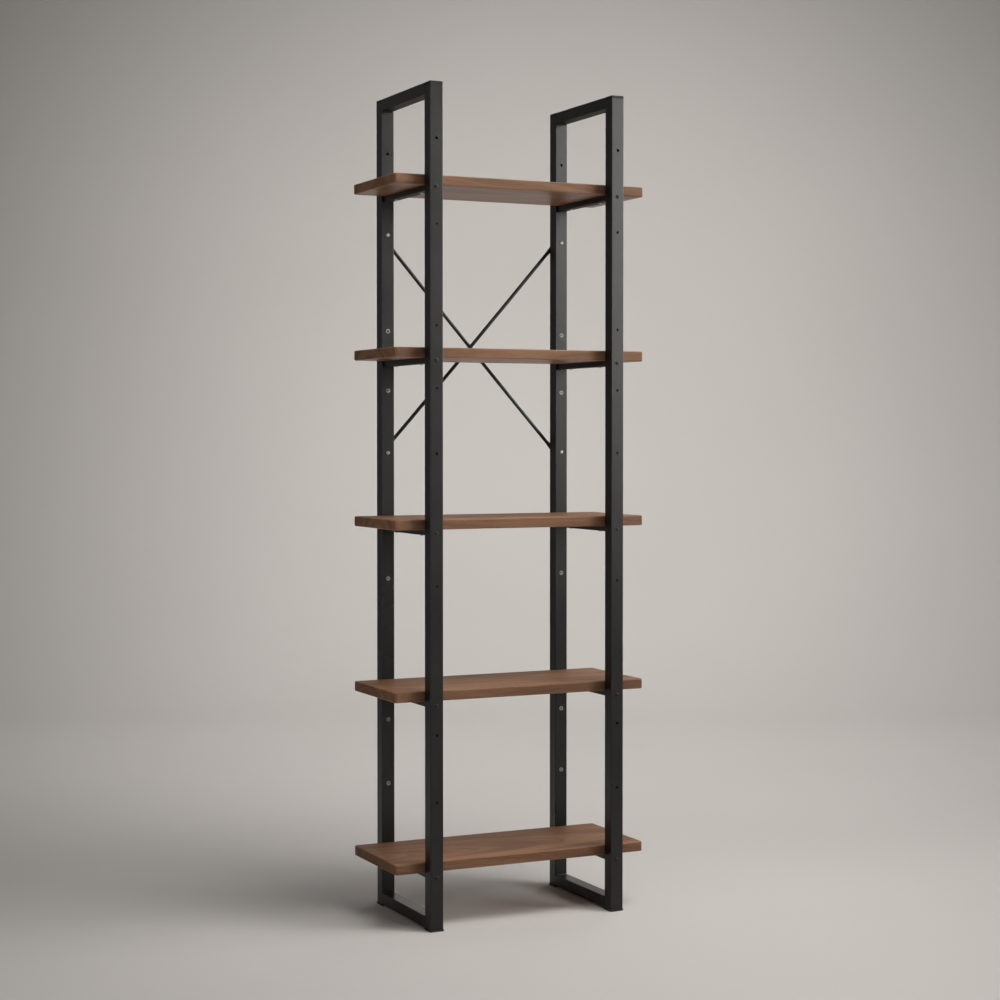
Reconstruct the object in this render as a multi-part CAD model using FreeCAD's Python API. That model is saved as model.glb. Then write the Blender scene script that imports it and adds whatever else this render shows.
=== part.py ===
import FreeCAD, Part
import math
import os

# Industrial bookcase: two welded side frames of square steel tube carry five wooden shelves on
# bolted support bars, and a pair of crossed rods braces the back.
# Millimetres. +X is to the right, +Y to the back, +Z up, and the floor is at Z = 0.

# Overall sizes
frame_height = 1800.0           # floor to the tops of the side frames
frame_depth = 300.0             # front faces of the front uprights to rear faces of the rear ones

# Side frames
tube_size = 30.0                # square tube of the uprights, and the width of the rails
tube_wall = 1.5
tube_corner = 1.5               # outer corner radius
tube_inner_corner = 0.5
rail_height = 25.0
cap_thickness = 6.0             # flange of the top cap, flush with the tube
cap_chamfer = 1.0               # upper edges of the cap
cap_seam = 0.8                  # lower edges of the cap, a fine groove over the tube
foot_thickness = 4.0            # flange of the foot pad under the tube
foot_proud = 1.5                # how far the foot pad stands out round the tube
foot_chamfer = 1.2
plug_length = 18.0              # spigot of a cap or foot inside its tube
plug_wall = 2.0
plug_clearance = 0.1            # between the corners of the spigot's ribs and the tube
plug_rib_height = 1.0
plug_rib_thickness = 1.2
plug_rib_pitch = 5.0
plug_rib_count = 3

# Shelves
shelf_count = 5
shelf_length = 600.0
shelf_overhang = 67.5           # shelf end to the outer face of its frame
shelf_thickness = 22.0
shelf_edge = 3.0                # eased edges of the faces
shelf_corner = 6.0              # upright corners
shelf_gap = 1.0                 # between a shelf and the uprights in front and behind
bottom_shelf_top = 143.0        # floor to the top of the lowest shelf
top_shelf_drop = 193.0          # tops of the frames down to the top of the highest shelf

# Shelf supports
support_width = 20.0
support_height = 12.0
support_edge = 1.0
support_screw_inset = 50.0      # end of the bar to its nearest wood screw

# Bolts of the supports and of the brace, with button heads
bolt_diameter = 5.0
bolt_head_diameter = 8.5
bolt_head_height = 2.4
bolt_head_rim = 1.0             # straight part of the head, below its cone
bolt_head_flat = 5.5            # flat top of the head, round the socket
bolt_key = 3.0                  # across the flats of the hexagon socket
bolt_key_depth = 1.4
bolt_reach = 12.0               # thread in the end of a support
bolt_clearance = 0.5            # on the diameter of a drilled hole
thread_clearance = 0.2          # on the diameter of a tapped hole or pilot hole
nut_across_flats = 8.0
nut_thickness = 4.0
nut_overrun = 1.5               # bolt end beyond the nut

# Wood screws of the shelves
screw_diameter = 3.5
screw_head_diameter = 7.5
screw_head_height = 2.2
screw_head_flat = 4.5
screw_grip = 13.0               # length in the shelf
screw_pilot_spare = 2.0         # pilot hole beyond the screw's tip

# Threaded inserts of the spare rows
insert_diameter = 7.0
insert_length = 9.0
insert_flange_diameter = 9.5
insert_flange_thickness = 1.0
insert_clearance = 0.2          # on the diameter of the hole in the tube

# Heights of the drilled rows, from the shelves next to them
first_spare_rise = 132.0        # above shelf 1
second_spare_drop = 69.0        # below shelf 2
third_spare_drop = 119.0        # below shelf 3
fourth_spare_drop = 66.0        # below shelf 4
fifth_spare_rise = 45.0         # above shelf 4
lower_brace_rise = 140.0        # above shelf 3
upper_brace_drop = 85.0         # below the top shelf
anchor_drop = 120.0             # tops of the frames down to the wall-fixing holes
anchor_hole_diameter = 6.5

# Crossed brace rods
rod_diameter = 8.0
rod_lift = 0.3                  # between a rod and the plane that its ends are bolted to
rod_crossing_gap = 0.4          # between the two rods where they cross
tab_thickness = 3.0             # flattened end of a rod
tab_width = 12.0
tab_corner = 1.2
tab_length = 13.0               # bolt to the start of the neck
neck_length = 20.0              # flattened section to round section

cut_margin = 1.0                # how far a cutting tool runs past a face
level_tolerance = 1e-6          # within which an edge lies at a given height

# Worked out from the sizes above
frame_width = shelf_length - 2 * shelf_overhang
span = frame_depth - 2 * tube_size
upright_x = (frame_width - tube_size) / 2
upright_y = (frame_depth - tube_size) / 2
shelf_depth = span - 2 * shelf_gap
shelf_pitch = (frame_height - top_shelf_drop - bottom_shelf_top) / (shelf_count - 1)
bolt_hole = bolt_diameter + bolt_clearance
tapped_hole = bolt_diameter + thread_clearance
insert_hole = insert_diameter + insert_clearance
rod_radius = rod_diameter / 2
rod_bow = (rod_diameter + rod_crossing_gap) / 2
front_most = frame_depth / 2 + bolt_head_height
rear_most = frame_depth / 2 + rod_lift + rod_diameter + rod_bow

V = FreeCAD.Vector
X_AXIS = V(1, 0, 0)
Y_AXIS = V(0, 1, 0)
Z_AXIS = V(0, 0, 1)


def shelf_top(number):
    """Height of a shelf's upper face; shelf 1 is the lowest."""
    return bottom_shelf_top + (number - 1) * shelf_pitch


def shelf_underside(number):
    return shelf_top(number) - shelf_thickness


def support_axis(number):
    """Height of the bolts that hold the supports of a shelf."""
    return shelf_underside(number) - support_height / 2


shelves = range(1, shelf_count + 1)
support_rows = [support_axis(number) for number in shelves]
spare_rows = [
    shelf_top(1) + first_spare_rise,
    shelf_underside(2) - second_spare_drop,
    shelf_underside(3) - third_spare_drop,
    shelf_underside(4) - fourth_spare_drop,
    shelf_top(4) + fifth_spare_rise,
]
lower_brace_row = shelf_top(3) + lower_brace_rise
upper_brace_row = shelf_underside(shelf_count) - upper_brace_drop
anchor_row = frame_height - anchor_drop


def cylinder(diameter, length, start, direction):
    return Part.makeCylinder(diameter / 2, length, start, direction)


def rounded_bar(width, depth, length, radius):
    """Bar up from the XY plane, centred on the Z axis, with its long edges rounded."""
    bar = Part.makeBox(width, depth, length, V(-width / 2, -depth / 2, 0))
    long_edges = [edge for edge in bar.Edges if abs(edge.tangentAt(edge.FirstParameter).z) > 0.5]
    return bar.makeFillet(radius, long_edges)


def tube(width, depth, length):
    """Hollow tube with crisp corners, up from the XY plane and centred on the Z axis."""
    outside = rounded_bar(width, depth, length, tube_corner)
    inside = rounded_bar(width - 2 * tube_wall, depth - 2 * tube_wall, length, tube_inner_corner)
    return outside.cut(inside)


def laid_back(shape):
    """Turns a piece that stands on the XY plane so that it runs back along +Y, its -Y side up."""
    return shape.rotated(V(0, 0, 0), X_AXIS, -90)


def revolved(profile):
    """Solid of revolution round the Z axis from (radius, height) corners."""
    corners = [V(radius, 0, height) for radius, height in profile]
    wire = Part.makePolygon(corners + corners[:1])
    return Part.Face(wire).revolve(V(0, 0, 0), Z_AXIS, 360)


def hexagon(across_flats, height):
    """Hexagonal prism up from the XY plane, centred on the Z axis."""
    radius = across_flats / math.sqrt(3)
    corners = [V(radius * math.cos(k * math.pi / 3), radius * math.sin(k * math.pi / 3), 0) for k in range(6)]
    return Part.Face(Part.makePolygon(corners + corners[:1])).extrude(V(0, 0, height))


def upright():
    """Upright with its outer wall at -Y, drilled for the supports, the brace, the spare rows and the wall."""
    body = tube(tube_size, tube_size, frame_height - foot_thickness - cap_thickness)
    body.translate(V(0, 0, foot_thickness))
    outer_start = -tube_size / 2 - cut_margin
    inner_start = tube_size / 2 - tube_wall - cut_margin
    one_wall = tube_wall + 2 * cut_margin
    both_walls = tube_size + 2 * cut_margin
    drills = []
    for height in support_rows + [lower_brace_row, upper_brace_row]:
        drills.append(cylinder(bolt_hole, both_walls, V(0, outer_start, height), Y_AXIS))
    for height in spare_rows:
        drills.append(cylinder(bolt_hole, one_wall, V(0, outer_start, height), Y_AXIS))
        drills.append(cylinder(insert_hole, one_wall, V(0, inner_start, height), Y_AXIS))
    drills.append(cylinder(anchor_hole_diameter, both_walls, V(0, outer_start, anchor_row), Y_AXIS))
    return body.cut(drills)


def rail(lower_face):
    """Rail between the uprights of one frame, with its lower face at the given height."""
    bar = laid_back(tube(tube_size, rail_height, span))
    bar.translate(V(0, -span / 2, lower_face + rail_height / 2))
    return bar


def square_block(size, height):
    """Block up from the XY plane, centred on the Z axis."""
    return Part.makeBox(size, size, height, V(-size / 2, -size / 2, 0))


def plug_spigot():
    """Ribbed hollow spigot that stands on the XY plane and fits inside an upright."""
    corner_loss = tube_inner_corner * (1 - math.sqrt(0.5))
    rib_size = tube_size - 2 * (tube_wall + corner_loss + plug_clearance)
    core_size = rib_size - 2 * plug_rib_height
    spigot = square_block(core_size, plug_length)
    for k in range(plug_rib_count):
        rib = square_block(rib_size, plug_rib_thickness)
        rib.translate(V(0, 0, plug_length - (k + 1) * plug_rib_pitch))
        spigot = spigot.fuse(rib)
    return spigot.cut(square_block(core_size - 2 * plug_wall, plug_length))


def edges_at(shape, height):
    """Straight and curved edges that lie flat at one height."""
    return [
        edge for edge in shape.Edges
        if abs(edge.BoundBox.ZMin - height) < level_tolerance
        and abs(edge.BoundBox.ZMax - height) < level_tolerance
    ]


def top_cap():
    """Cap in the top of an upright: a flush flange with chamfered edges, and its spigot below."""
    flange = rounded_bar(tube_size, tube_size, cap_thickness, tube_corner)
    flange = flange.makeChamfer(cap_chamfer, edges_at(flange, cap_thickness))
    flange = flange.makeChamfer(cap_seam, edges_at(flange, 0))
    flange.translate(V(0, 0, frame_height - cap_thickness))
    spigot = plug_spigot().rotated(V(0, 0, 0), X_AXIS, 180)
    spigot.translate(V(0, 0, frame_height - cap_thickness))
    return flange.fuse(spigot).removeSplitter()


def foot_pad():
    """Pad under an upright: a flange that stands proud of the tube, chamfered below, and its spigot above."""
    size = tube_size + 2 * foot_proud
    flange = rounded_bar(size, size, foot_thickness, tube_corner + foot_proud)
    flange = flange.makeChamfer(foot_chamfer, edges_at(flange, 0))
    spigot = plug_spigot()
    spigot.translate(V(0, 0, foot_thickness))
    return flange.fuse(spigot).removeSplitter()


def support_screw_places():
    """Places of the wood screws along a support, from its middle."""
    reach = span / 2 - support_screw_inset
    return (-reach, reach)


def support(number):
    """Bar under one end of a shelf, tapped at both ends and drilled for its wood screws."""
    bar = laid_back(rounded_bar(support_width, support_height, span, support_edge))
    bar.translate(V(0, -span / 2, support_axis(number)))
    tap_depth = bolt_reach + cut_margin
    cuts = [
        cylinder(tapped_hole, tap_depth, V(0, -span / 2, support_axis(number)), Y_AXIS),
        cylinder(tapped_hole, tap_depth, V(0, span / 2, support_axis(number)), -Y_AXIS),
    ]
    drill_start = shelf_underside(number) - support_height - cut_margin
    drill_length = support_height + 2 * cut_margin
    for place in support_screw_places():
        cuts.append(cylinder(screw_diameter + bolt_clearance, drill_length, V(0, place, drill_start), Z_AXIS))
    return bar.cut(cuts)


def shelf(number):
    """Board with rounded corners, eased edges and blind pilot holes over the supports."""
    board = rounded_bar(shelf_length, shelf_depth, shelf_thickness, shelf_corner)
    board = board.makeFillet(shelf_edge, edges_at(board, 0) + edges_at(board, shelf_thickness))
    board.translate(V(0, 0, shelf_underside(number)))
    pilots = []
    for side in (-1, 1):
        for place in support_screw_places():
            start = V(side * upright_x, place, shelf_underside(number) - cut_margin)
            depth = screw_grip + screw_pilot_spare + cut_margin
            pilots.append(cylinder(screw_diameter + thread_clearance, depth, start, Z_AXIS))
    return board.cut(pilots)


def button_bolt(length):
    """Bolt down the -Z axis from its seat at the origin, with a domed socket head above."""
    head_radius = bolt_head_diameter / 2
    head = revolved([
        (0, 0),
        (head_radius, 0),
        (head_radius, bolt_head_rim),
        (bolt_head_flat / 2, bolt_head_height),
        (0, bolt_head_height),
    ])
    shank = cylinder(bolt_diameter, length, V(0, 0, 0), -Z_AXIS)
    key = hexagon(bolt_key, bolt_key_depth + cut_margin)
    key.translate(V(0, 0, bolt_head_height - bolt_key_depth))
    return head.fuse(shank).cut(key)


def facing_front(shape):
    """Turns a fastener so that its head, drawn upward, faces the front."""
    return shape.rotated(V(0, 0, 0), X_AXIS, 90)


def facing_back(shape):
    return shape.rotated(V(0, 0, 0), X_AXIS, -90)


def placed(shape, x, y, z):
    copy = shape.copy()
    copy.translate(V(x, y, z))
    return copy


def support_bolts(turn, y):
    """Bolts through the uprights of one row into the ends of the supports."""
    bolt = turn(button_bolt(tube_size + bolt_reach))
    return [placed(bolt, side * upright_x, y, height) for side in (-1, 1) for height in support_rows]


def brace_places():
    return [(side * upright_x, height) for side in (-1, 1) for height in (lower_brace_row, upper_brace_row)]


def brace_bolts():
    """Bolts from the inner faces of the rear uprights, through the tube and the rods' flattened ends."""
    bolt = facing_front(button_bolt(tube_size + tab_thickness + nut_thickness + nut_overrun))
    return [placed(bolt, x, span / 2, z) for x, z in brace_places()]


def brace_nuts():
    nut = hexagon(nut_across_flats, nut_thickness)
    nut = facing_back(nut.cut(cylinder(tapped_hole, nut_thickness, V(0, 0, 0), Z_AXIS)))
    return [placed(nut, x, frame_depth / 2 + tab_thickness, z) for x, z in brace_places()]


def shelf_screws():
    """Wood screws up through the supports into the shelves, with their heads below."""
    shank_radius = screw_diameter / 2
    tip = support_height + screw_grip
    screw = revolved([
        (0, -screw_head_height),
        (screw_head_flat / 2, -screw_head_height),
        (screw_head_diameter / 2, 0),
        (shank_radius, 0),
        (shank_radius, tip - screw_diameter),
        (0, tip),
    ])
    return [
        placed(screw, side * upright_x, place, shelf_underside(number) - support_height)
        for number in shelves for side in (-1, 1) for place in support_screw_places()
    ]


def inserts(turn, y):
    """Threaded inserts in the inner faces of one pair of uprights."""
    bore = tapped_hole / 2
    body = insert_diameter / 2
    flange = insert_flange_diameter / 2
    insert = turn(revolved([
        (bore, -insert_length),
        (body, -insert_length),
        (body, 0),
        (flange, 0),
        (flange, insert_flange_thickness),
        (bore, insert_flange_thickness),
    ]))
    return [placed(insert, side * upright_x, y, height) for side in (-1, 1) for height in spare_rows]


def ring_wire(points, bulges):
    """Closed wire through the points; each bulge is the middle of an arc, or None for a straight edge."""
    edges = []
    for k, start in enumerate(points):
        end = points[(k + 1) % len(points)]
        if bulges[k] is None:
            edges.append(Part.makeLine(start, end))
        else:
            edges.append(Part.Arc(start, bulges[k], end).toShape())
    return Part.Wire(edges)


def flat_section(x):
    """Section of a flattened rod end: a rectangle with rounded corners, its front face at Y = 0."""
    half_width = tab_width / 2
    middle = tab_thickness / 2
    inset = tab_corner * (1 - math.sqrt(0.5))
    points = []
    bulges = []
    for y_side, z_side in ((1, 1), (-1, 1), (-1, -1), (1, -1)):
        flat_end = V(x, middle + y_side * middle, z_side * (half_width - tab_corner))
        edge_end = V(x, middle + y_side * (middle - tab_corner), z_side * half_width)
        corner = V(x, middle + y_side * (middle - inset), z_side * (half_width - inset))
        points.extend([flat_end, edge_end] if y_side == z_side else [edge_end, flat_end])
        bulges.extend([corner, None])
    return ring_wire(points, bulges)


def round_section(centre, along):
    """Round section with one arc for each edge of the flattened one."""
    across = V(-along.y, along.x, 0)
    broad = math.radians(60)
    narrow = math.radians(8)
    quarter = math.pi / 2
    turns = []
    for k in range(4):
        corner_start = broad if k % 2 == 0 else narrow
        corner_end = quarter - (narrow if k % 2 == 0 else broad)
        turns.extend([k * quarter + corner_start, k * quarter + corner_end])

    def on_rim(turn):
        return centre + across * (rod_radius * math.cos(turn)) + Z_AXIS * (rod_radius * math.sin(turn))

    points = [on_rim(turn) for turn in turns]
    following = turns[1:] + [turns[0] + 2 * math.pi]
    bulges = [on_rim((turn + after) / 2) for turn, after in zip(turns, following)]
    return ring_wire(points, bulges)


def brace_rod(bow):
    """Rod from bolt to bolt along +X, bowed to the back by the given rise, its flat ends on Y = 0."""
    length = math.hypot(2 * upright_x, upper_brace_row - lower_brace_row)
    neck_end = tab_length + neck_length
    rest = rod_lift + rod_radius
    start = V(neck_end, rest, 0)
    path = Part.Arc(start, V(length / 2, rest + bow, 0), V(length - neck_end, rest, 0)).toShape()
    along = path.tangentAt(path.FirstParameter)
    circle = Part.Wire([Part.makeCircle(rod_radius, start, along)])
    rod = Part.Wire([path]).makePipeShell([circle], True, False)
    neck = Part.makeLoft([flat_section(tab_length), round_section(start, along)], True, True)
    tab = Part.Face(flat_section(0)).extrude(V(tab_length, 0, 0))
    tab = tab.fuse(cylinder(tab_width, tab_thickness, V(0, 0, 0), Y_AXIS))
    tab = tab.cut(cylinder(bolt_hole, tab_thickness + 2 * cut_margin, V(0, -cut_margin, 0), Y_AXIS))
    end = tab.fuse(neck)
    far_end = end.mirror(V(length / 2, 0, 0), X_AXIS)
    return rod.fuse([end, far_end]).removeSplitter()


def leaning(rod, side):
    """Sets a rod on the rear uprights, from the lower row on one side to the upper row on the other."""
    slope = math.degrees(math.atan2(upper_brace_row - lower_brace_row, 2 * upright_x))
    turned = rod.rotated(V(0, 0, 0), Y_AXIS, -slope)
    if side > 0:
        turned = turned.mirror(V(0, 0, 0), X_AXIS)
    return placed(turned, side * upright_x, frame_depth / 2, lower_brace_row)


def build():
    """Every piece by its node name."""
    pieces = {}
    front_upright = upright()
    rear_upright = front_upright.rotated(V(0, 0, 0), Z_AXIS, 180)
    for side, x in (("left", -upright_x), ("right", upright_x)):
        for row, y, tube_piece in (("front", -upright_y, front_upright), ("rear", upright_y, rear_upright)):
            pieces[f"{side}_{row}_upright"] = placed(tube_piece, x, y, 0)
            pieces[f"{side}_{row}_top_cap"] = placed(top_cap(), x, y, 0)
            pieces[f"{side}_{row}_foot_pad"] = placed(foot_pad(), x, y, 0)
        pieces[f"{side}_top_rail"] = placed(rail(frame_height - rail_height), x, 0, 0)
        pieces[f"{side}_bottom_rail"] = placed(rail(foot_thickness), x, 0, 0)
        for number in shelves:
            pieces[f"{side}_support_{number}"] = placed(support(number), x, 0, 0)
    for number in shelves:
        pieces[f"shelf_{number}"] = shelf(number)
    pieces["front_brace_rod"] = leaning(brace_rod(-rod_bow), -1)
    pieces["back_brace_rod"] = leaning(brace_rod(rod_bow), 1)
    pieces["front_support_bolts"] = Part.makeCompound(support_bolts(facing_front, -frame_depth / 2))
    pieces["rear_support_bolts"] = Part.makeCompound(support_bolts(facing_back, frame_depth / 2))
    pieces["brace_bolts"] = Part.makeCompound(brace_bolts())
    pieces["brace_nuts"] = Part.makeCompound(brace_nuts())
    pieces["shelf_screws"] = Part.makeCompound(shelf_screws())
    pieces["front_inserts"] = Part.makeCompound(inserts(facing_back, -span / 2))
    pieces["rear_inserts"] = Part.makeCompound(inserts(facing_front, span / 2))
    return pieces


# The origin is under the middle of the whole, from the front bolt heads to the rear brace rod.
to_origin = V(0, (front_most - rear_most) / 2, 0)
os.makedirs("parts", exist_ok=True)
for name, piece in build().items():
    piece.translate(to_origin)
    piece.exportStep(f"parts/{name}.step")
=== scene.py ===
import math

import bmesh
import bpy
from mathutils import Matrix, Vector


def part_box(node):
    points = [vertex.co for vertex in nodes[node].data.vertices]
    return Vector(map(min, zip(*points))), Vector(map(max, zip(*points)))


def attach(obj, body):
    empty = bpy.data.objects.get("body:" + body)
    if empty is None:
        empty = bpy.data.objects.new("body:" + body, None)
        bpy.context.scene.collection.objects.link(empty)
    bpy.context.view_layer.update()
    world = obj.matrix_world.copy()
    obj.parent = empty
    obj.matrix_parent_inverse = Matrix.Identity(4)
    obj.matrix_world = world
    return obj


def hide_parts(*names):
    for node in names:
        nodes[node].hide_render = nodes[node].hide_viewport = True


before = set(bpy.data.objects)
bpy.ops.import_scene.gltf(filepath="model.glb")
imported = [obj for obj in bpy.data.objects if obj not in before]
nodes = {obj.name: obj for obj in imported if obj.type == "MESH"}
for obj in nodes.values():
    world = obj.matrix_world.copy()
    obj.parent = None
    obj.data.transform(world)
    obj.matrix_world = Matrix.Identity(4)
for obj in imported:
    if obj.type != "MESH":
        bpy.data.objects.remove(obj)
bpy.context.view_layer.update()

# Looks of the industrial bookcase: powder coat, walnut, moulded plastic and plated fasteners.
# Metres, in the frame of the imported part: +X to the right, +Y to the back, +Z up, the floor at Z = 0.

sides = ("left", "right")
shelf_count = 5
shelf_numbers = range(1, shelf_count + 1)

# Camera, fitted to the edges of the object in the photograph
picture_px = 1000.0
focal_px = 2020.2
axis_px = 478.0                 # from the top of the picture to the axis of the lens
camera_place = Vector((-1.935, -4.063, 1.0544))
camera_yaw = 0.4454             # to the right
camera_tilt = 0.0212            # downward
picture_right = Vector((math.cos(camera_yaw), -math.sin(camera_yaw), 0.0))
picture_back = Vector((math.sin(camera_yaw), math.cos(camera_yaw), 0.0))

# Stage: a floor that curves up into a backdrop, square to the camera
stage_half_width = 9.0
stage_front = -9.0
stage_back = 3.0
stage_bend = 1.8                # radius
stage_height = 7.0
bend_steps = 24
stage_colour = (0.735, 0.709, 0.688, 1.0)
# Painted shade round the painted pool of light; the same colour also drifts in at random over the paper
stage_painted_shade_and_drift = (0.31, 0.298, 0.284, 1.0)
stage_shade_drift = 0.06        # share of the shade that comes and goes over the paper
stage_roughness = 0.9

# Painted pool of light on the stage, with painted shade round it
painted_pool_half_width = 1.45
painted_pool_spread = 0.32              # half width that it gains in each metre to the back
painted_pool_height = 2.5
painted_pool_centre = (0.10, 0.40)      # to the right and up, in parts of the half width and of the height
painted_pool_rim = (0.35, 1.75)         # from the centre, in the same parts: from the painted light to the painted shade

# Surround, into which the stage fades for the rays that look at it
surround_pale = (0.36, 0.347, 0.333, 1.0)
# Painted dark wing of the surround, seen only by the camera and in reflections, which darkens the faces
# that look to the left
surround_painted_dark_wing = (0.10, 0.096, 0.092, 1.0)
wing_edges = (-0.8, -0.2)       # part of a direction that points to the right: the painted dark wing is on the left
wing_ends = (0.0, 0.45)         # part of a direction that points to the back: the wing is behind the object
edge_fade = (0.05, 1.6)         # past the sides and the top of the picture
front_fade = (-2.8, -0.8)       # on the floor in front of the object

# Lights: spread in degrees, power in watts
light_colour = (1.0, 0.975, 0.945)
lights = {
    "key_light": {"place": (3.75, -3.55, 2.45), "target": (0.0, 0.0, 1.8),
                  "size": (2.4, 2.6), "spread": 44, "power": 21.0},
    "side_light": {"place": (4.1, -2.1, 2.6), "target": (0.0, 0.1, 0.5),
                   "size": (2.6, 2.6), "spread": 180, "power": 62.0},
    "top_light": {"place": (0.7, -1.3, 4.1), "target": (0.0, 0.0, 0.6),
                  "size": (2.0, 2.0), "spread": 180, "power": 84.0},
    "fill_light": {"place": (-1.15, -0.35, 1.2), "target": (-0.25, 0.0, 1.15),
                   "size": (0.4, 1.6), "spread": 85, "power": 1.0},
    "backdrop_light": {"place": (0.52, 1.08, 3.4), "target": (1.98, 4.15, 0.8),
                       "size": (2.4, 0.8), "spread": 120, "power": 31.0},
    "back_light": {"place": (3.3, 2.0, 2.2), "target": (0.0, 0.0, 1.0),
                   "size": (1.4, 1.4), "spread": 60, "power": 3.0},
}
world_colour = (1.0, 0.99, 0.98, 1.0)
world_strength = 0.12

# Parts of a normal that tell faces and edges apart
edge_span = (0.72, 0.97)        # its largest part, from a rounded edge to a flat face
side_span = (0.2, 0.9)          # its part up or down, from an upright face to a level one
underside_span = (-0.9, -0.2)   # its part upward, from a face that looks down to an upright one

# Values between which most of a noise lies
noise_span = (0.3, 0.7)

# Powder coat of the tubes, supports and rods
coat_dark = (0.0045, 0.0045, 0.0044, 1.0)
coat_light = (0.008, 0.008, 0.0078, 1.0)
coat_dusty = (0.022, 0.0215, 0.020, 1.0)
coat_rubbed = (0.030, 0.0295, 0.0285, 1.0)
coat_roughness = (0.27, 0.33)
coat_underside_roughness = 0.35         # added where no hand has polished the coat

# Plastic of the caps and of the feet
cap_dark = (0.006, 0.006, 0.006, 1.0)
cap_light = (0.010, 0.010, 0.0098, 1.0)
cap_scuffed = (0.030, 0.030, 0.029, 1.0)
foot_dark = (0.022, 0.022, 0.021, 1.0)
foot_light = (0.034, 0.034, 0.033, 1.0)
foot_scuffed = (0.080, 0.079, 0.076, 1.0)
plastic_roughness = (0.52, 0.64)

# Walnut of the shelves
walnut_deep = (0.170, 0.077, 0.036, 1.0)
walnut_warm = (0.287, 0.137, 0.068, 1.0)
walnut_pale = (0.392, 0.206, 0.112, 1.0)
walnut_line = (0.115, 0.050, 0.024, 1.0)
walnut_pore = (0.048, 0.024, 0.015, 1.0)
walnut_edge = (0.330, 0.200, 0.130, 1.0)
walnut_edge_share = 0.3
# Darkening of the upright faces of the boards: partly the darker stain of their edges and end grain, partly
# painted shade that keeps the fronts darker than the tops
walnut_side_stain_and_painted_shade = (0.61, 0.61, 0.61, 1.0)
walnut_roughness = (0.50, 0.62)
walnut_underside_roughness = -0.17      # added where no use has worn the lacquer
fibre_relief = 0.5              # share of the fibres in the relief, into which the pores are sunk
log_step = (2.3, 0.71, 0.37)    # from the wood of one shelf to that of the next

# Heart of the log beside each board
heart_depth = 0.075             # below the middle of the board
heart_aside = 0.03
heart_tilt = 0.09
heart_wander = 0.06

# Black oxide of the support bolts
oxide_dark = (0.005, 0.005, 0.005, 1.0)
oxide_light = (0.010, 0.010, 0.0095, 1.0)
oxide_rubbed = (0.030, 0.030, 0.029, 1.0)
oxide_rubbed_share = 0.3
oxide_roughness = (0.35, 0.45)

# Zinc plate of the brace fasteners and the screws, and the dull one of the inserts
zinc_dark = (0.40, 0.395, 0.375, 1.0)
zinc_light = (0.56, 0.55, 0.53, 1.0)
dull_zinc_dark = (0.25, 0.247, 0.24, 1.0)
dull_zinc_light = (0.38, 0.375, 0.362, 1.0)
zinc_roughness = (0.54, 0.66)

# Socket bolts
bolt_radius = 0.0025
bolt_head_radius = 0.00425
bolt_head_height = 0.0024
bolt_head_rim = 0.0006          # straight side of the head, between its dome and its seat
bolt_head_flat = 0.0022         # radius of the flat round the socket
bolt_grip = 0.042
bolt_chamfer = 0.0006
socket_flats = 0.003
socket_depth = 0.0014
thread_pitch = 0.0008
thread_depth = 0.0004
thread_length = 0.0072
thread_steps = 8                # rings in one turn of thread

# Nuts of the brace
nut_flats = 0.008
nut_bore = 0.0026
nut_bevel = math.radians(30)
nut_face = 0.97                 # part of the width over the flats that the round end face spans

# Wood screws
screw_radius = 0.00175
screw_head_radius = 0.00375
screw_head_height = 0.0022
screw_head_rim = 0.0003
screw_head_flat = 0.0021
screw_length = 0.025
screw_point = 0.0035
screw_tip_radius = 0.000175
recess_reach = 0.0019
recess_half_width = 0.00042
recess_depth = 0.0013
recess_taper = 0.6

# Turns of the fasteners' Z axis, and the spin from each fastener to the next
to_back = Matrix.Rotation(-math.pi / 2, 4, "X")
to_front = Matrix.Rotation(math.pi / 2, 4, "X")
upward = Matrix.Identity(4)
spin_step = 2.4

# Weld beads in the inner corners of the side frames
weld_leg = 0.0028
weld_bulge = 0.0004
weld_ripple = 0.00010
weld_pitch = 0.0021
weld_inset = 0.0017             # from the rounded edges of the tubes
weld_blunt = 0.05               # keeps the ends of a bead from running out to nothing
weld_stations = 84
weld_arc_steps = 6

# Meshes
round_steps = 48
dome_steps = 5
sharp_angle = math.radians(32)

# Numbers of the sockets that a Mix node uses for colours, since others bear the same names
mix_share = 0
mix_first = 6
mix_second = 7
mix_result = 2


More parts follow.
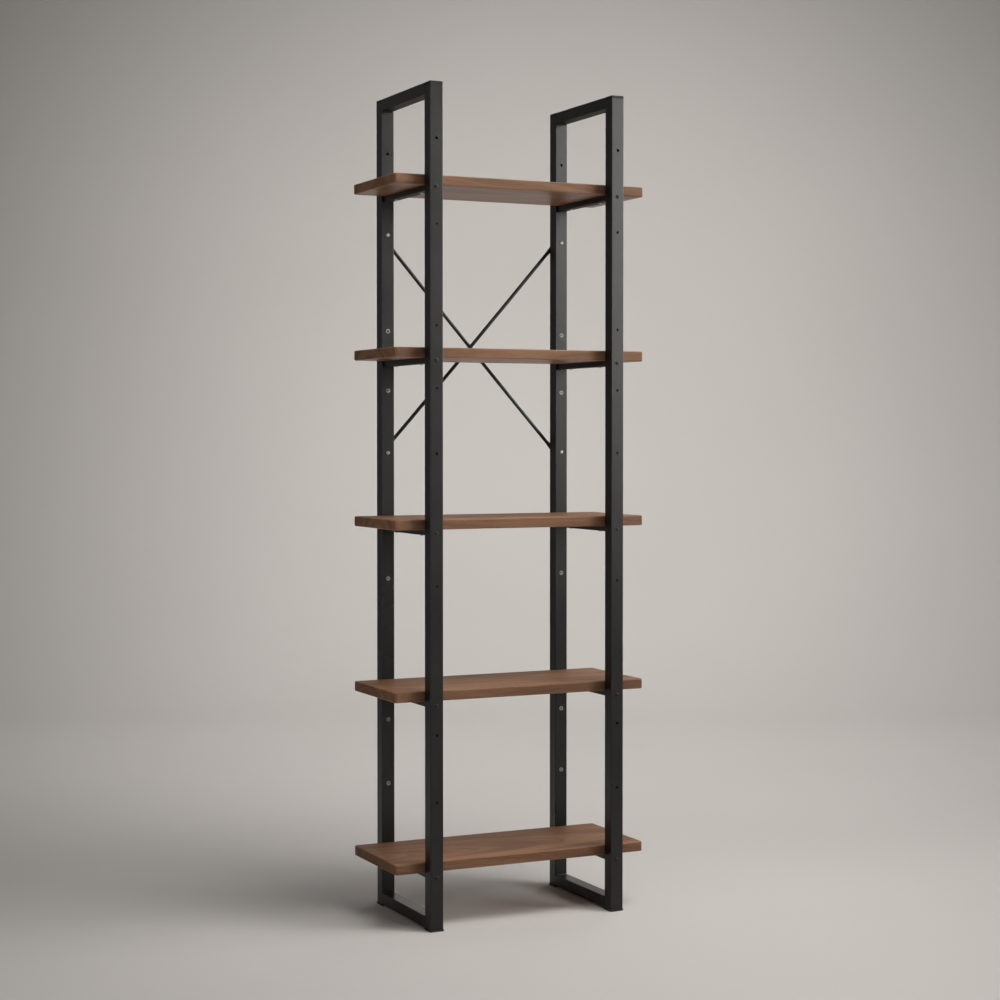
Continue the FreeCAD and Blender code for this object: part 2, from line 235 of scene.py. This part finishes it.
class Recipe:
    """One node material, or the world, built up step by step."""

    def __init__(self, name, world=False):
        library = bpy.data.worlds if world else bpy.data.materials
        self.material = library.new(name)
        self.material.use_nodes = True
        self.tree = self.material.node_tree
        self.shader = self.tree.nodes["Background" if world else "Principled BSDF"]
        self.output = self.tree.nodes["World Output" if world else "Material Output"]
        self.coords = self.add("ShaderNodeTexCoord")
        self.place = self.coords.outputs["Object"]
        self.normal = self.coords.outputs["Normal"]

    def put(self, socket, value):
        """Links an output to an input socket, or sets a constant on it."""
        if isinstance(value, bpy.types.NodeSocket):
            self.tree.links.new(value, socket)
        else:
            socket.default_value = value

    def add(self, kind, inputs=None, **settings):
        """Adds a node; inputs are values or output sockets by name or number."""
        node = self.tree.nodes.new(kind)
        for name, value in settings.items():
            setattr(node, name, value)
        for name, value in (inputs or {}).items():
            self.put(node.inputs[name], value)
        return node

    def math(self, operation, *values):
        inputs = dict(enumerate(values))
        return self.add("ShaderNodeMath", inputs, operation=operation).outputs[0]

    def axes(self, vector):
        return self.add("ShaderNodeSeparateXYZ", {"Vector": vector}).outputs

    def vector(self, x, y, z):
        return self.add("ShaderNodeCombineXYZ", {"X": x, "Y": y, "Z": z}).outputs[0]

    def scaled(self, vector, scale=(1.0, 1.0, 1.0), shift=(0.0, 0.0, 0.0)):
        inputs = {"Vector": vector, "Scale": scale, "Location": shift}
        return self.add("ShaderNodeMapping", inputs).outputs[0]

    def unit(self, vector):
        return self.add("ShaderNodeVectorMath", {0: vector}, operation="NORMALIZE").outputs["Vector"]

    def dot(self, vector, direction):
        inputs = {0: vector, 1: direction}
        return self.add("ShaderNodeVectorMath", inputs, operation="DOT_PRODUCT").outputs["Value"]

    def length(self, x, y):
        """Length of a flat vector, by its two parts."""
        flat = self.vector(x, y, 0.0)
        return self.add("ShaderNodeVectorMath", {0: flat}, operation="LENGTH").outputs["Value"]

    def noise(self, vector, scale=1.0, detail=2.0, roughness=0.5):
        inputs = {"Vector": vector, "Scale": scale, "Detail": detail, "Roughness": roughness}
        return self.add("ShaderNodeTexNoise", inputs).outputs["Fac"]

    def remap(self, value, span, to=(0.0, 1.0)):
        """Smooth step from one end of a range to the other, while a value crosses its span."""
        inputs = {"Value": value, "From Min": span[0], "From Max": span[1]}
        inputs.update({"To Min": to[0], "To Max": to[1]})
        return self.add("ShaderNodeMapRange", inputs, interpolation_type="SMOOTHSTEP").outputs[0]

    def blend(self, share, first, second, mode="MIX"):
        """Colour between two colours or colour outputs."""
        node = self.add("ShaderNodeMix", data_type="RGBA", blend_type=mode)
        self.put(node.inputs[mix_share], share)
        self.put(node.inputs[mix_first], first)
        self.put(node.inputs[mix_second], second)
        return node.outputs[mix_result]

    def overlay(self, colour, second, pattern, span, most):
        """Colour with a second one over it, up to a share of most where a pattern is past its span."""
        return self.blend(self.remap(pattern, span, to=(0.0, most)), colour, second)

    def edge_mask(self):
        """1 where a rounded or chamfered edge turns between the flat faces, 0 on the faces."""
        x, y, z = [self.math("ABSOLUTE", part) for part in self.axes(self.normal)]
        largest = self.math("MAXIMUM", self.math("MAXIMUM", x, y), z)
        return self.remap(largest, edge_span, to=(1.0, 0.0))

    def side_mask(self):
        """1 on the upright faces, 0 on the tops and undersides."""
        level = self.math("ABSOLUTE", self.axes(self.normal)["Z"])
        return self.remap(level, side_span, to=(1.0, 0.0))

    def underside_mask(self):
        """1 on the faces that look down, 0 on the sides and tops."""
        return self.remap(self.axes(self.normal)["Z"], underside_span, to=(1.0, 0.0))

    def bump(self, height, strength, distance):
        inputs = {"Height": height, "Strength": strength, "Distance": distance}
        return self.add("ShaderNodeBump", inputs).outputs[0]

    def show_other(self, share, other):
        """Shows another shader in place of the recipe's own, by a share."""
        shaders = {0: share, 1: self.shader.outputs[0], 2: other.outputs[0]}
        choice = self.add("ShaderNodeMixShader", shaders)
        self.put(self.output.inputs["Surface"], choice.outputs[0])

    def finish(self, colour, roughness, normal, **constants):
        """Links the surface to the shader; constants go on its sockets, with _ for a space."""
        self.put(self.shader.inputs["Base Color"], colour)
        self.put(self.shader.inputs["Roughness"], roughness)
        self.put(self.shader.inputs["Normal"], normal)
        for name, value in constants.items():
            self.shader.inputs[name.replace("_", " ")].default_value = value
        return self.material


def middle(node):
    """Middle of a CAD node's box."""
    low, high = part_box(node)
    return (low + high) / 2


# Materials

def powder_coat():
    """Black powder coat: a fine sandy texture, a slow drift in tone, and rubbed edges."""
    recipe = Recipe("powder_coat")
    drift = recipe.noise(recipe.place, scale=7.0, detail=3.0)
    grain = recipe.noise(recipe.place, scale=1500.0, detail=2.0)
    dust = recipe.noise(recipe.place, scale=160.0, detail=4.0, roughness=0.65)
    colour = recipe.blend(drift, coat_dark, coat_light)
    colour = recipe.overlay(colour, coat_dusty, dust, span=(0.55, 0.75), most=0.25)
    wear = recipe.remap(dust, span=(0.4, 0.65), to=(0.1, 0.7))
    colour = recipe.blend(recipe.math("MULTIPLY", recipe.edge_mask(), wear), colour, coat_rubbed)
    polished = recipe.remap(drift, span=(0.25, 0.75), to=coat_roughness)
    roughness = recipe.math("MULTIPLY_ADD", recipe.underside_mask(), coat_underside_roughness, polished)
    normal = recipe.bump(grain, strength=0.22, distance=0.0003)
    return recipe.finish(colour, roughness, normal, Specular_IOR_Level=0.4)


def moulded_plastic(name, dark, light, scuffed):
    """Plastic of the caps and feet, with a fine spark-eroded grain and scuffed edges."""
    recipe = Recipe(name)
    drift = recipe.noise(recipe.place, scale=30.0, detail=3.0)
    grain = recipe.noise(recipe.place, scale=2600.0, detail=1.0)
    scuff = recipe.noise(recipe.scaled(recipe.place, scale=(260.0, 260.0, 900.0)), detail=3.0)
    colour = recipe.blend(drift, dark, light)
    colour = recipe.blend(recipe.math("MULTIPLY", recipe.edge_mask(), scuff), colour, scuffed)
    roughness = recipe.remap(scuff, noise_span, to=plastic_roughness)
    normal = recipe.bump(grain, strength=0.3, distance=0.0002)
    return recipe.finish(colour, roughness, normal, Specular_IOR_Level=0.25)


def walnut(node, number):
    """Satin walnut: growth rings round a tilted, wandering heart, which show as arches and streaks."""
    recipe = Recipe(f"walnut_{number}")
    side = 1 if number % 2 else -1
    log_shift = tuple(number * step for step in log_step)
    x, y, z = recipe.axes(recipe.place)

    def drawn_out(place, lengthwise, crosswise, shift=(0.0, 0.0, 0.0), **settings):
        """Noise drawn out along the board, by how often it changes in a metre along and across."""
        return recipe.noise(recipe.scaled(place, (lengthwise, crosswise, crosswise), shift), **settings)

    bend = drawn_out(recipe.place, lengthwise=1.7, crosswise=4.0, shift=log_shift)
    sway = drawn_out(recipe.place, lengthwise=1.1, crosswise=3.0, shift=log_shift[::-1])
    across = recipe.math("MULTIPLY_ADD", bend, heart_wander, y)
    across = recipe.math("ADD", across, side * heart_aside - heart_wander / 2)
    depth = recipe.math("MULTIPLY_ADD", sway, heart_wander, z)
    depth = recipe.math("MULTIPLY_ADD", x, side * heart_tilt, depth)
    depth = recipe.math("ADD", depth, heart_depth - heart_wander / 2 - middle(node).z)
    ring = recipe.length(across, depth)

    def along_rings(stretch, pitch, detail):
        """Noise that changes quickly from ring to ring and slowly along the board."""
        along = recipe.math("MULTIPLY", x, stretch)
        outward = recipe.math("DIVIDE", ring, pitch)
        return recipe.noise(recipe.vector(along, outward, number), detail=detail, roughness=0.55)

    grain = recipe.scaled(recipe.vector(x, across, z), shift=log_shift)
    broad = drawn_out(grain, lengthwise=1.6, crosswise=8.0, detail=3.0, roughness=0.55)
    bands = along_rings(stretch=0.9, pitch=0.016, detail=2.0)
    lines = along_rings(stretch=1.6, pitch=0.0032, detail=3.0)
    streaks = drawn_out(grain, lengthwise=3.0, crosswise=150.0, detail=4.0, roughness=0.6)
    fibres = drawn_out(grain, lengthwise=9.0, crosswise=800.0, detail=3.0, roughness=0.6)
    pores = drawn_out(grain, lengthwise=70.0, crosswise=1700.0, detail=1.0)

    colour = recipe.blend(recipe.remap(broad, noise_span), walnut_deep, walnut_warm)
    colour = recipe.overlay(colour, walnut_pale, bands, span=(0.36, 0.64), most=0.62)
    colour = recipe.overlay(colour, walnut_line, lines, span=(0.48, 0.72), most=0.6)
    colour = recipe.overlay(colour, walnut_pale, streaks, span=(0.42, 0.72), most=0.4)
    colour = recipe.overlay(colour, walnut_line, fibres, span=(0.45, 0.75), most=0.3)
    pore = recipe.remap(pores, span=(0.60, 0.72), to=(0.0, 0.6))
    colour = recipe.blend(pore, colour, walnut_pore)
    # Upright faces darker: partly stain, partly painted shade
    colour = recipe.blend(recipe.side_mask(), colour, walnut_side_stain_and_painted_shade, "MULTIPLY")
    eased = recipe.math("MULTIPLY", recipe.edge_mask(), walnut_edge_share)
    colour = recipe.blend(eased, colour, walnut_edge)
    worn = recipe.remap(fibres, span=(0.2, 0.8), to=walnut_roughness)
    roughness = recipe.math("MULTIPLY_ADD", recipe.underside_mask(), walnut_underside_roughness, worn)
    relief = recipe.math("SUBTRACT", recipe.math("MULTIPLY", fibres, fibre_relief), pore)
    normal = recipe.bump(relief, strength=0.16, distance=0.0003)
    return recipe.finish(colour, roughness, normal, Specular_IOR_Level=0.22)


def black_oxide():
    """Blackened steel of the support bolts, a little brighter where a key has rubbed."""
    recipe = Recipe("black_oxide")
    mottle = recipe.noise(recipe.place, scale=900.0, detail=3.0)
    colour = recipe.blend(mottle, oxide_dark, oxide_light)
    rubbed = recipe.math("MULTIPLY", recipe.edge_mask(), oxide_rubbed_share)
    colour = recipe.blend(rubbed, colour, oxide_rubbed)
    roughness = recipe.remap(mottle, noise_span, to=oxide_roughness)
    normal = recipe.bump(mottle, strength=0.15, distance=0.0001)
    return recipe.finish(colour, roughness, normal, Specular_IOR_Level=0.4)


def zinc_plate(name, dark, light):
    """Zinc plate with fine turning marks and a faint mottle."""
    recipe = Recipe(name)
    mottle = recipe.noise(recipe.place, scale=420.0, detail=4.0, roughness=0.6)
    marks = recipe.noise(recipe.scaled(recipe.place, scale=(4200.0, 500.0, 4200.0)), detail=2.0)
    colour = recipe.blend(mottle, dark, light)
    roughness = recipe.remap(marks, noise_span, to=zinc_roughness)
    normal = recipe.bump(marks, strength=0.12, distance=0.0001)
    return recipe.finish(colour, roughness, normal, Metallic=1.0)


def dress(names, material):
    """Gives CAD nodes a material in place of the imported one."""
    for name in names:
        for material_slot in nodes[name].material_slots:
            material_slot.material = material


def named(*endings):
    """Names of the CAD nodes that have one of these endings."""
    return [name for name in nodes if name.endswith(endings)]


coat = powder_coat()
oxide = black_oxide()
zinc = zinc_plate("zinc_plate", zinc_dark, zinc_light)
dress(named("_upright", "_rail", "_rod"), coat)
dress([f"{side}_support_{number}" for side in sides for number in shelf_numbers], coat)
dress(named("_cap"), moulded_plastic("cap_plastic", cap_dark, cap_light, cap_scuffed))
dress(named("_pad"), moulded_plastic("foot_plastic", foot_dark, foot_light, foot_scuffed))
for shelf_number in shelf_numbers:
    dress([f"shelf_{shelf_number}"], walnut(f"shelf_{shelf_number}", shelf_number))
dress(named("_inserts"), zinc_plate("dull_zinc", dull_zinc_dark, dull_zinc_light))


# Shapes of the fasteners and welds

def hexagon(flats):
    """Radius of a hexagon by the turn, with a flat where the turn is 0."""
    wedge = math.pi / 3
    return lambda turn: flats / 2 / math.cos((turn + wedge / 2) % wedge - wedge / 2)


def cross(reach, half_width):
    """Radius of a cross by the turn, with an arm where the turn is 0."""
    quarter = math.pi / 2

    def radius(turn):
        lean = abs((turn + quarter / 2) % quarter - quarter / 2)
        along_arm = reach / math.cos(lean)
        return along_arm if lean == 0 else min(along_arm, half_width / math.sin(lean))
    return radius


def at_turn(value, turn):
    """A number as it is, or what a function gives at a turn."""
    return value(turn) if callable(value) else value


def lathe(rings, hollow=False):
    """Closed shape round the Z axis. A ring is a radius and a height, each a number or a function of the
    turn. The first and the last ring are capped or, in a hollow shape, joined to each other."""
    points = []
    for radius, height in rings:
        for step in range(round_steps):
            turn = math.tau * step / round_steps
            reach = at_turn(radius, turn)
            points.append(Vector((reach * math.cos(turn), reach * math.sin(turn), at_turn(height, turn))))
    starts = [ring * round_steps for ring in range(len(rings))]
    following = starts[1:] + starts[:1] if hollow else starts[1:]
    faces = []
    for start, next_start in zip(starts, following):
        for step in range(round_steps):
            after = (step + 1) % round_steps
            faces.append([start + step, start + after, next_start + after, next_start + step])
    if not hollow:
        for start, height in ((starts[0], rings[0][1]), (starts[-1], rings[-1][1])):
            hub = len(points)
            points.append(Vector((0.0, 0.0, height)))
            for step in range(round_steps):
                faces.append([start + step, start + (step + 1) % round_steps, hub])
    return points, faces


def dome(flat, radius, rim, height):
    """Rings of a head below the XY plane: its flat end, round shoulder and rim, up to its seat."""
    rings = []
    for step in range(dome_steps + 1):
        lean = math.pi / 2 * step / dome_steps
        rings.append((flat + (radius - flat) * math.sin(lean), -rim - (height - rim) * math.cos(lean)))
    return rings + [(radius, 0.0)]


def thread_rings(length, threaded):
    """Rings of the threaded end of a bolt, which the chamfer of its tip cuts down."""
    rings = []
    for step in range(1, round(threaded / thread_pitch * thread_steps)):
        height = length - threaded + step * thread_pitch / thread_steps
        limit = min(bolt_radius, bolt_radius + length - bolt_chamfer - height)

        def radius(turn, height=height, limit=limit):
            phase = (height / thread_pitch - turn / math.tau) % 1.0
            return min(limit, bolt_radius - thread_depth * abs(2 * phase - 1))
        rings.append((radius, height))
    return rings


def socket_bolt(length, threaded=0.0):
    """Bolt up the Z axis from its seat, with a domed head and a hexagon socket below."""
    key = hexagon(socket_flats)
    rings = [(key, socket_depth - bolt_head_height), (key, -bolt_head_height)]
    rings += dome(bolt_head_flat, bolt_head_radius, bolt_head_rim, bolt_head_height)
    rings += [(bolt_radius, 0.0), (bolt_radius, length - max(threaded, bolt_chamfer))]
    rings += thread_rings(length, threaded)
    return lathe(rings + [(bolt_radius - bolt_chamfer, length)])


def hexagon_nut(thickness):
    """Nut up the Z axis, with the corners of both ends bevelled round."""
    side = hexagon(nut_flats)
    face = nut_face * nut_flats / 2

    def lower_edge(turn):
        return (side(turn) - face) * math.tan(nut_bevel)

    def upper_edge(turn):
        return thickness - lower_edge(turn)
    rings = [(nut_bore, 0.0), (face, 0.0), (side, lower_edge), (side, upper_edge)]
    return lathe(rings + [(face, thickness), (nut_bore, thickness)], hollow=True)


def wood_screw():
    """Screw up the Z axis from its seat, with a pan head and a tapered cross recess below."""
    floor = cross(recess_reach * recess_taper, recess_half_width * recess_taper)
    rings = [(floor, recess_depth - screw_head_height)]
    rings += [(cross(recess_reach, recess_half_width), -screw_head_height)]
    rings += dome(screw_head_flat, screw_head_radius, screw_head_rim, screw_head_height)
    rings += [(screw_radius, 0.0), (screw_radius, screw_length - screw_point)]
    return lathe(rings + [(screw_tip_radius, screw_length)])


def weld_bead(rail, end, rise):
    """Rippled fillet along X in the corner of a rail and an upright. The end is -1 at the front and 1 at
    the back, and the rise is 1 for a bead on top of the rail and -1 for one below it."""
    low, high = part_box(rail)
    corner_y = high.y if end > 0 else low.y
    corner_z = high.z if rise > 0 else low.z
    length = high.x - low.x - 2 * weld_inset
    ring_size = weld_arc_steps + 2
    points = []
    for station in range(weld_stations + 1):
        along = length * station / weld_stations
        x = low.x + weld_inset + along
        swell = min(1.0, math.sqrt(min(along, length - along) / weld_leg + weld_blunt))
        points.append(Vector((x, corner_y, corner_z)))
        for step in range(weld_arc_steps + 1):
            share = step / weld_arc_steps
            off_middle = share - 0.5
            phase = along / weld_pitch + off_middle ** 2
            leg = swell * (weld_leg + weld_ripple * math.cos(math.tau * phase))
            crown = swell * weld_bulge * math.sin(math.pi * share)
            out = leg * (1 - share) + crown
            up = leg * share + crown
            points.append(Vector((x, corner_y - end * out, corner_z + rise * up)))
    last_start = weld_stations * ring_size
    faces = [list(range(ring_size)), list(range(last_start, last_start + ring_size))]
    for start in range(0, last_start, ring_size):
        for step in range(ring_size):
            after = (step + 1) % ring_size
            faces.append([start + step, start + after, start + ring_size + after, start + ring_size + step])
    return points, faces


# Pieces that the scene adds

def add_piece(name, shapes, material, slot, *replaced):
    """One piece on the root body, made of closed shapes, which may stand for CAD nodes."""
    points = []
    faces = []
    for shape_points, shape_faces in shapes:
        first = len(points)
        points += shape_points
        faces += [[first + corner for corner in face] for face in shape_faces]
    mesh = bpy.data.meshes.new(name)
    mesh.from_pydata(points, [], faces)
    shell = bmesh.new()
    shell.from_mesh(mesh)
    bmesh.ops.recalc_face_normals(shell, faces=shell.faces)
    shell.to_mesh(mesh)
    shell.free()
    mesh.polygons.foreach_set("use_smooth", [True] * len(mesh.polygons))
    mesh.set_sharp_from_angle(angle=sharp_angle)
    mesh.materials.append(material)
    piece = bpy.data.objects.new(name, mesh)
    bpy.context.scene.collection.objects.link(piece)
    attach(piece, "root")
    if replaced:
        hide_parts(*replaced)


def copies(shape, places, axis_turn):
    """Copies of a shape, one at each place, all turned by axis_turn and each spun further than the last."""
    points, faces = shape
    shapes = []
    for number, place in enumerate(places):
        move = Matrix.Translation(place) @ axis_turn @ Matrix.Rotation(spin_step * number, 4, "Z")
        shapes.append(([move @ point for point in points], faces))
    return shapes


def add_support_bolts():
    """Bolts through the front and the rear uprights into the ends of the supports."""
    for row, axis_turn in (("front", to_back), ("rear", to_front)):
        low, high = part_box(f"left_{row}_upright")
        seat = low.y if row == "front" else high.y
        places = []
        for side in sides:
            for number in shelf_numbers:
                support = middle(f"{side}_support_{number}")
                places.append(Vector((support.x, seat, support.z)))
        bolts = copies(socket_bolt(bolt_grip), places, axis_turn)
        add_piece(f"{row}_socket_bolts", bolts, oxide, "bolt_black", f"{row}_support_bolts")


def add_brace_fasteners():
    """Bolts through the rear uprights and the flattened rod ends, with threaded ends and nuts."""
    low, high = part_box("brace_bolts")
    nut_low, nut_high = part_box("brace_nuts")
    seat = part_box("left_rear_upright")[0].y
    places = []
    for side in sides:
        for z in (low.z + bolt_head_radius, high.z - bolt_head_radius):
            places.append(Vector((middle(f"{side}_rear_upright").x, seat, z)))
    bolts = copies(socket_bolt(high.y - seat, thread_length), places, to_back)
    add_piece("brace_socket_bolts", bolts, zinc, "zinc", "brace_bolts")
    nut_places = [Vector((place.x, nut_low.y, place.z)) for place in places]
    nuts = copies(hexagon_nut(nut_high.y - nut_low.y), nut_places, to_back)
    add_piece("brace_hexagon_nuts", nuts, zinc, "zinc", "brace_nuts")


def add_shelf_screws():
    """Screws up through the supports into the shelves."""
    low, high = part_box("shelf_screws")
    places = []
    for side in sides:
        for number in shelf_numbers:
            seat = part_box(f"{side}_support_{number}")[0].z
            for y in (low.y + screw_head_radius, high.y - screw_head_radius):
                places.append(Vector((middle(f"{side}_support_{number}").x, y, seat)))
    add_piece("shelf_wood_screws", copies(wood_screw(), places, upward), zinc, "zinc", "shelf_screws")


def add_welds():
    """Beads in the four inner corners of each side frame."""
    beads = []
    for side in sides:
        for end in (-1, 1):
            beads.append(weld_bead(f"{side}_top_rail", end, -1))
            beads.append(weld_bead(f"{side}_bottom_rail", end, 1))
    add_piece("frame_weld_beads", beads, coat, "frame_black")


add_support_bolts()
add_brace_fasteners()
add_shelf_screws()
add_welds()


# Stage, lights and camera

def seen_rays(recipe):
    """1 for the rays that look at a surface: from the camera, in a reflection or through glass."""
    path = recipe.add("ShaderNodeLightPath").outputs
    mirrored = recipe.math("MAXIMUM", path["Is Glossy Ray"], path["Is Transmission Ray"])
    return recipe.math("MAXIMUM", path["Is Camera Ray"], mirrored)


def surround_colour(recipe, rightward, backward):
    """Pale grey round the stage, with a painted dark wing at the back on the left that darkens what the
    faces that look left reflect, by two parts of a direction.
    """
    beside = recipe.remap(rightward, wing_edges, to=(1.0, 0.0))
    behind = recipe.remap(backward, wing_ends)
    return recipe.blend(recipe.math("MULTIPLY", beside, behind), surround_pale, surround_painted_dark_wing)


def fade_out(recipe, across, along, height):
    """Fades the stage, for the rays that look at it, outside what the picture shows."""
    top_slope = math.tan(math.atan(axis_px / focal_px) - camera_tilt)
    away = recipe.math("SUBTRACT", along, picture_back.dot(camera_place))
    half_view = recipe.math("MULTIPLY", away, picture_px / 2 / focal_px)
    top_view = recipe.math("MULTIPLY_ADD", away, top_slope, camera_place.z)
    beside = recipe.math("SUBTRACT", recipe.math("ABSOLUTE", across), half_view)
    above = recipe.math("SUBTRACT", height, top_view)
    outside = recipe.remap(recipe.math("MAXIMUM", beside, above), edge_fade)
    ahead = recipe.remap(along, front_fade, to=(1.0, 0.0))
    fade = recipe.math("MULTIPLY", recipe.math("MAXIMUM", outside, ahead), seen_rays(recipe))
    direction = recipe.axes(recipe.unit(recipe.place))
    colour = surround_colour(recipe, direction["X"], direction["Y"])
    recipe.show_other(fade, recipe.add("ShaderNodeEmission", {"Color": colour}))


def stage_material():
    """Warm grey paper of the floor and backdrop, with a painted pool of light that widens to the back and
    painted shade round it.
    """
    recipe = Recipe("stage_paper")
    across, along, height = recipe.axes(recipe.place)
    fade_out(recipe, across, along, height)
    beyond = recipe.math("MAXIMUM", along, 0.0)
    reach = recipe.math("MULTIPLY_ADD", beyond, painted_pool_spread, painted_pool_half_width)
    aside = recipe.math("SUBTRACT", recipe.math("DIVIDE", across, reach), painted_pool_centre[0])
    above = recipe.math("SUBTRACT", recipe.math("DIVIDE", height, painted_pool_height), painted_pool_centre[1])
    # Painted shade of the stage, outside the painted pool of light
    shade = recipe.remap(recipe.length(aside, above), painted_pool_rim)
    drift = recipe.noise(recipe.place, scale=0.6, detail=3.0)
    grain = recipe.noise(recipe.place, scale=300.0, detail=2.0)
    colour = recipe.blend(shade, stage_colour, stage_painted_shade_and_drift)
    colour = recipe.overlay(colour, stage_painted_shade_and_drift, drift, noise_span, most=stage_shade_drift)
    normal = recipe.bump(grain, strength=0.05, distance=0.0005)
    return recipe.finish(colour, stage_roughness, normal, Specular_IOR_Level=0.2)


def make_stage():
    """One smooth sheet: the floor, a bend and the backdrop."""
    profile = [(stage_front, 0.0), (stage_back, 0.0)]
    for step in range(1, bend_steps + 1):
        turn = math.pi / 2 * step / bend_steps
        profile.append((stage_back + stage_bend * math.sin(turn), stage_bend * (1 - math.cos(turn))))
    profile.append((stage_back + stage_bend, stage_height))
    points = []
    for along, height in profile:
        points.append((-stage_half_width, along, height))
        points.append((stage_half_width, along, height))
    faces = [(left, left + 1, left + 3, left + 2) for left in range(0, len(points) - 2, 2)]
    mesh = bpy.data.meshes.new("studio_sweep")
    mesh.from_pydata(points, [], faces)
    mesh.polygons.foreach_set("use_smooth", [True] * len(mesh.polygons))
    mesh.materials.append(stage_material())
    sweep = bpy.data.objects.new("studio_sweep", mesh)
    sweep.rotation_euler.z = -camera_yaw
    bpy.context.scene.collection.objects.link(sweep)


def area_light(name, place, target, size, spread, power):
    """Rectangular lamp that the camera doesn't see."""
    light = bpy.data.lights.new(name, "AREA")
    light.shape = "RECTANGLE"
    light.size, light.size_y = size
    light.spread = math.radians(spread)
    light.energy = power
    light.color = light_colour
    lamp = bpy.data.objects.new(name, light)
    lamp.location = place
    lamp.rotation_euler = (Vector(target) - Vector(place)).to_track_quat("-Z", "Y").to_euler()
    lamp.visible_camera = False
    bpy.context.scene.collection.objects.link(lamp)


def make_world():
    """Soft light from all round; rays that look past the edge of the stage see the surround."""
    recipe = Recipe("studio", world=True)
    recipe.put(recipe.shader.inputs["Color"], world_colour)
    recipe.put(recipe.shader.inputs["Strength"], world_strength)
    direction = recipe.coords.outputs["Generated"]
    rightward = recipe.dot(direction, picture_right)
    backward = recipe.dot(direction, picture_back)
    colour = surround_colour(recipe, rightward, backward)
    recipe.show_other(seen_rays(recipe), recipe.add("ShaderNodeBackground", {"Color": colour}))
    bpy.context.scene.world = recipe.material


def make_camera():
    """Camera that frames the object as the photograph does."""
    data = bpy.data.cameras.new("camera")
    data.lens = data.sensor_width * focal_px / picture_px
    data.shift_y = (axis_px - picture_px / 2) / picture_px
    camera = bpy.data.objects.new("camera", data)
    camera.location = camera_place
    camera.rotation_euler = (math.pi / 2 - camera_tilt, 0, -camera_yaw)
    bpy.context.scene.collection.objects.link(camera)
    bpy.context.scene.camera = camera


make_stage()
for light_name, settings in lights.items():
    area_light(light_name, **settings)
make_world()
make_camera()
bpy.context.scene.view_settings.view_transform = "Standard"
